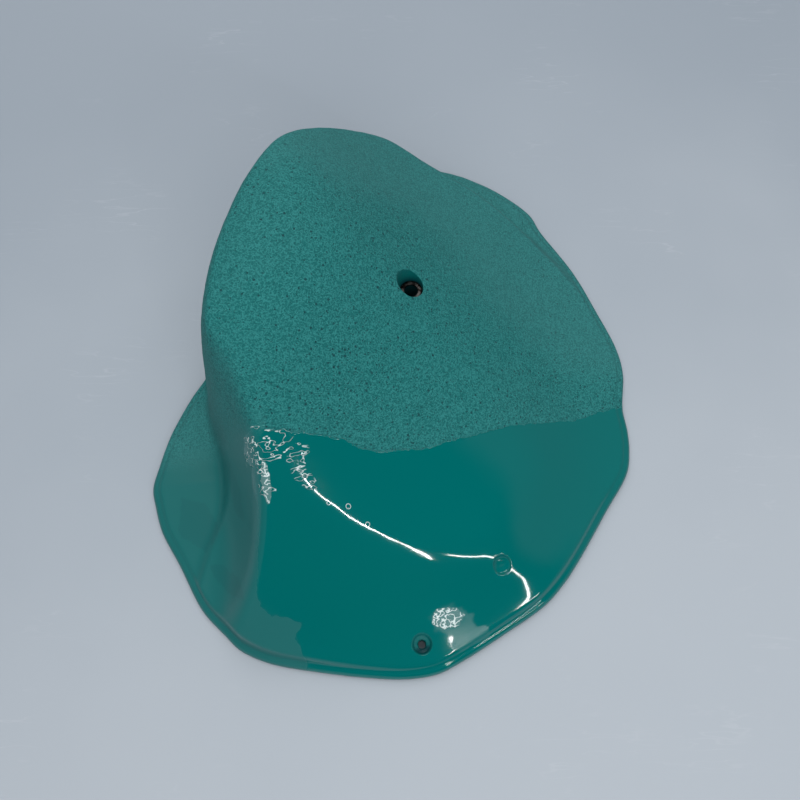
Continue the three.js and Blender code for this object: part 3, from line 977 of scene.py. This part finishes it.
def skinMaterial():
    material, place = newMaterial("teal_skin")
    flank = layerShare(place, "fromSatinEdge")
    wet = (flank * layerShare(place, "fromGlossEdge", "satinGrow")
           + (1 - flank) * layerShare(place, "fromGlossEdge"))
    sandyTone, sandyHeight = sandySkin(place, layerShare(place, "fromSheenEdge"))
    wetTone, wetHeight, wetRough = wetSkin(place, flank)
    close(place, {
        "Base Color": wet.blendColours(sandyTone, wetTone),
        "Roughness": wet * wetRough + (1 - wet) * teal["sandyRough"],
        "Normal": bumped(sandyHeight * (1 - wet) + wetHeight * wet),
    })
    return material


# The walls of the holes take a painted shade towards the washer's seat, between two heights in
# metres over it, and down the screw hole. This painted shade by the seat is only in the bolt bore,
# which is higher up.
boreLook = {
    "marks": (3, 3, 0.6), "markGrow": (0.3, 0.7), "markHeight": 0.35, "markRough": 0.3,
    "leastRough": 0.35, "overSeat": (0.009, 0.001), "seatWander": 0.003,
    "boltFrom": (0.03, 0.05), "screwFrom": (0.0135, 0.0115),
}


def boreMaterial():
    material, place = newMaterial("teal_bore")
    marks = lumps(place, *boreLook["marks"])
    height = heightOf(place)
    overSeat = [seatHeight * millimetre + over for over in boreLook["overSeat"]]
    nearSeat = (height + marks * boreLook["seatWander"]).rise(*overSeat)
    nearSeat = nearSeat * height.rise(*boreLook["boltFrom"])
    # Painted shade near the seat and down the screw hole.
    boreShade = nearSeat + height.rise(*boreLook["screwFrom"])
    wall = marks.rise(*boreLook["markGrow"]).blendColours(teal["deep"], teal["grain"])
    close(place, {
        "Base Color": boreShade.blendColours(wall, teal["paintedShade"]),
        "Roughness": marks * boreLook["markRough"] + boreLook["leastRough"],
        "Normal": bumped(marks * boreLook["markHeight"]),
    })
    return material


# Bubbles in the back are pressed in and darkened with a painted shade.
backLook = {
    "flow": (28, 4, 0.6), "flowGrow": (0.35, 0.7), "flowHeight": 1.2,
    "bubbleSpacing": 9.0, "bubbleReach": 0.16, "bubbleGrow": (-0.02, 0.08), "bubbleShade": 0.6,
    "bubbleHeight": 0.8, "scuffs": (4, 5, 0.7), "scuffRough": 0.35, "leastRough": 0.3,
    "scuffHeight": 0.25,
}


def backMaterial():
    material, place = newMaterial("teal_back")
    flow = lumps(place, *backLook["flow"])
    bubble = backLook["bubbleReach"] - cells(place, backLook["bubbleSpacing"])
    bubble = bubble.rise(*backLook["bubbleGrow"])
    scuff = lumps(place, *backLook["scuffs"])
    tone = flow.rise(*backLook["flowGrow"]).blendColours(teal["deep"], teal["grain"])
    close(place, {
        # Painted shade in the bubble pits.
        "Base Color": (bubble * backLook["bubbleShade"]).blendColours(tone, teal["paintedShade"]),
        "Roughness": scuff * backLook["scuffRough"] + backLook["leastRough"],
        "Normal": bumped(flow * backLook["flowHeight"] + scuff * backLook["scuffHeight"]
                         - bubble * backLook["bubbleHeight"]),
    })
    return material


zinc = {
    "clean": colour(0.12, 0.11, 0.105), "stained": colour(0.022, 0.017, 0.015),
    "stains": (3.5, 4, 0.65), "stainGrow": (0.40, 0.56), "stainRough": 0.4, "leastRough": 0.35,
    "stainHeight": 0.08, "scratches": (0.7, 2), "scratchHeight": 0.06,
}


def washerMaterial():
    material, place = newMaterial("dull_zinc")
    stain, scratch = lumps(place, *zinc["stains"]), lumps(place, *zinc["scratches"])
    close(place, {
        "Base Color": stain.rise(*zinc["stainGrow"]).blendColours(zinc["clean"], zinc["stained"]),
        "Metallic": 1.0,
        "Roughness": stain * zinc["stainRough"] + zinc["leastRough"],
        "Normal": bumped(scratch * zinc["scratchHeight"] + stain * zinc["stainHeight"]),
    })
    return material


print("mixing the finishes")
for finish in (skinMaterial(), boreMaterial(), backMaterial()):
    casting.data.materials.append(finish)
washer.data.materials.append(washerMaterial())

# The light blue-grey sheet that the hold lies on gets lighter along a way in plan, as a painted
# fall of light, and has faint scratches.
sheet = {
    "half": 4.0, "far": colour(0.314, 0.362, 0.418), "near": colour(0.430, 0.474, 0.523),
    "way": (0.30, -0.95, 0), "nearGrow": (-0.42, 0.34), "clouds": (300, 3, 0.5),
    "cloudShare": 0.5, "rough": 0.6,
    "scratches": (130, 3, 0.6), "scratchStretch": (1, 7, 1), "scratchLine": (60, 0.0, 1.0),
    "worn": (110, 3, 0.6), "wornGrow": (0.52, 0.72), "scratchTone": 0.22,
    "scratch": colour(0.58, 0.61, 0.65),
}


def sheetMaterial():
    material, place = newMaterial("pale_sheet")
    cloud = (lumps(place, *sheet["clouds"]) - 0.5) * sheet["cloudShare"]
    near = (place.vectorMaths("DOT_PRODUCT", sheet["way"]) + cloud).rise(*sheet["nearGrow"])
    tone = near.blendColours(sheet["far"], sheet["near"])
    stretched = place.vectorMaths("MULTIPLY", sheet["scratchStretch"], "Vector")
    scratch = lumps(stretched, *sheet["scratches"]).lines(0.5, *sheet["scratchLine"])
    worn = lumps(place, *sheet["worn"]).rise(*sheet["wornGrow"])
    close(place, {
        "Base Color": (scratch * worn * sheet["scratchTone"]).blendColours(tone, sheet["scratch"]),
        "Roughness": sheet["rough"],
    })
    return material


def squareOf(name, half, material):
    mesh = bpy.data.meshes.new(name)
    corners = [(-half, -half, 0), (half, -half, 0), (half, half, 0), (-half, half, 0)]
    mesh.from_pydata(corners, [], [(0, 1, 2, 3)])
    mesh.materials.append(material)
    square = bpy.data.objects.new(name, mesh)
    bpy.context.scene.collection.objects.link(square)
    return square


def layFloor():
    floor = squareOf("floor", sheet["half"], sheetMaterial())


def lightWorld():
    around = colour(0.19, 0.20, 0.21)
    world = bpy.data.worlds.new("studio")
    bpy.context.scene.world = world
    world.use_nodes = True
    world.node_tree.nodes.clear()
    desk = Wire(world.node_tree)
    background = desk.make("ShaderNodeBackground", {}, {"Color": around})
    desk.make("ShaderNodeOutputWorld", {}, {"Surface": background})


# A black card hangs in front of the hold and makes its gloss deep. Only reflections see it, and
# it fades out between two distances from its middle. The way to it starts at the lamps' target.
blackCard = {
    "way": (0.265, -0.655, 0.707), "away": 1.9, "fadeFrom": (1.43, 2.0),
    "tone": colour(0.004, 0.004, 0.005),
}


def hangCard():
    material, place = newMaterial("black_card")
    shares = place.make("ShaderNodeMixShader", {}, {
        0: place.vectorMaths("LENGTH").rise(*blackCard["fadeFrom"]),
        1: place.make("ShaderNodeBsdfDiffuse", {}, {"Color": blackCard["tone"]}),
        2: place.make("ShaderNodeBsdfTransparent")})
    place.make("ShaderNodeOutputMaterial", {}, {"Surface": shares})
    card = squareOf("black_card", blackCard["fadeFrom"][1], material)
    way = Vector(blackCard["way"]).normalized()
    card.location = Vector(lamps["target"]) + blackCard["away"] * way
    card.rotation_euler = way.to_track_quat("Z", "Y").to_euler()
    card.visible_camera = card.visible_diffuse = card.visible_shadow = False


# The strips lie along a line between two directions, each an azimuth and a height in degrees
# seen from the target; places and widths are in metres and the power in watts.
lamps = {
    "target": (0.02, -0.13, 0.06),
    "stripAway": 1.55,
    "strips": [
        {"from": (-61.2, 35.5), "to": (-58, 42), "width": 0.022, "power": 0.85},
        {"from": (-51.8, 39.3), "to": (-37, 22), "width": 0.026, "power": 2.0},
    ],
    "soft": [
        {"at": (0.1, -0.5, 2.3), "sides": (2.6, 2.6), "power": 30},
        {"at": (0.1, -2.0, 1.3), "sides": (1.8, 1.4), "power": 12.5},
    ],
    "window": {"at": (-0.30, 1.40, 2.15), "sides": (2.6, 2.6), "power": 33.5},
}


def addLamp(name, at, sides, power, glossy, along=(1, 0, 0)):
    light = bpy.data.lights.new(name, "AREA")
    light.shape, light.energy = "RECTANGLE", power
    light.size, light.size_y = sides
    lamp = bpy.data.objects.new(name, light)
    back = (Vector(at) - Vector(lamps["target"])).normalized()
    across = Vector(along)
    across = (across - across.dot(back) * back).normalized()
    turn = Matrix((across, back.cross(across), back)).transposed()
    lamp.matrix_world = Matrix.Translation(at) @ turn.to_4x4()
    lamp.visible_glossy = glossy
    bpy.context.scene.collection.objects.link(lamp)


def skyPoint(azimuth, rise):
    azimuth, rise = math.radians(azimuth), math.radians(rise)
    way = Vector((math.cos(rise) * math.cos(azimuth), math.cos(rise) * math.sin(azimuth),
                  math.sin(rise)))
    return Vector(lamps["target"]) + lamps["stripAway"] * way


def hangLamps():
    for strip in lamps["strips"]:
        start, end = skyPoint(*strip["from"]), skyPoint(*strip["to"])
        sides = ((end - start).length, strip["width"])
        addLamp("strip_lamp", (start + end) / 2, sides, strip["power"], True, end - start)
    for soft in lamps["soft"]:
        addLamp("soft_lamp", soft["at"], soft["sides"], soft["power"], False)
    window = lamps["window"]
    addLamp("window_lamp", window["at"], window["sides"], window["power"], True)


# The camera's place in millimetres of the drawing, its tilt from straight down in degrees, and the
# millimetres of its lens, which is as long as the sensor is wide.
shot = {"at": (5, -240, 660), "tilt": 20, "lens": 36}


def placeCamera():
    camera = bpy.data.objects.new("camera", bpy.data.cameras.new("camera"))
    camera.data.sensor_width = camera.data.lens = shot["lens"]
    camera.location = (np.array(shot["at"]) + formShift) * millimetre
    camera.rotation_euler = (math.radians(shot["tilt"]), 0, 0)
    bpy.context.scene.collection.objects.link(camera)
    bpy.context.scene.camera = camera


print("setting the studio")
layFloor()
lightWorld()
hangCard()
hangLamps()
placeCamera()
bpy.context.scene.view_settings.view_transform = "Standard"
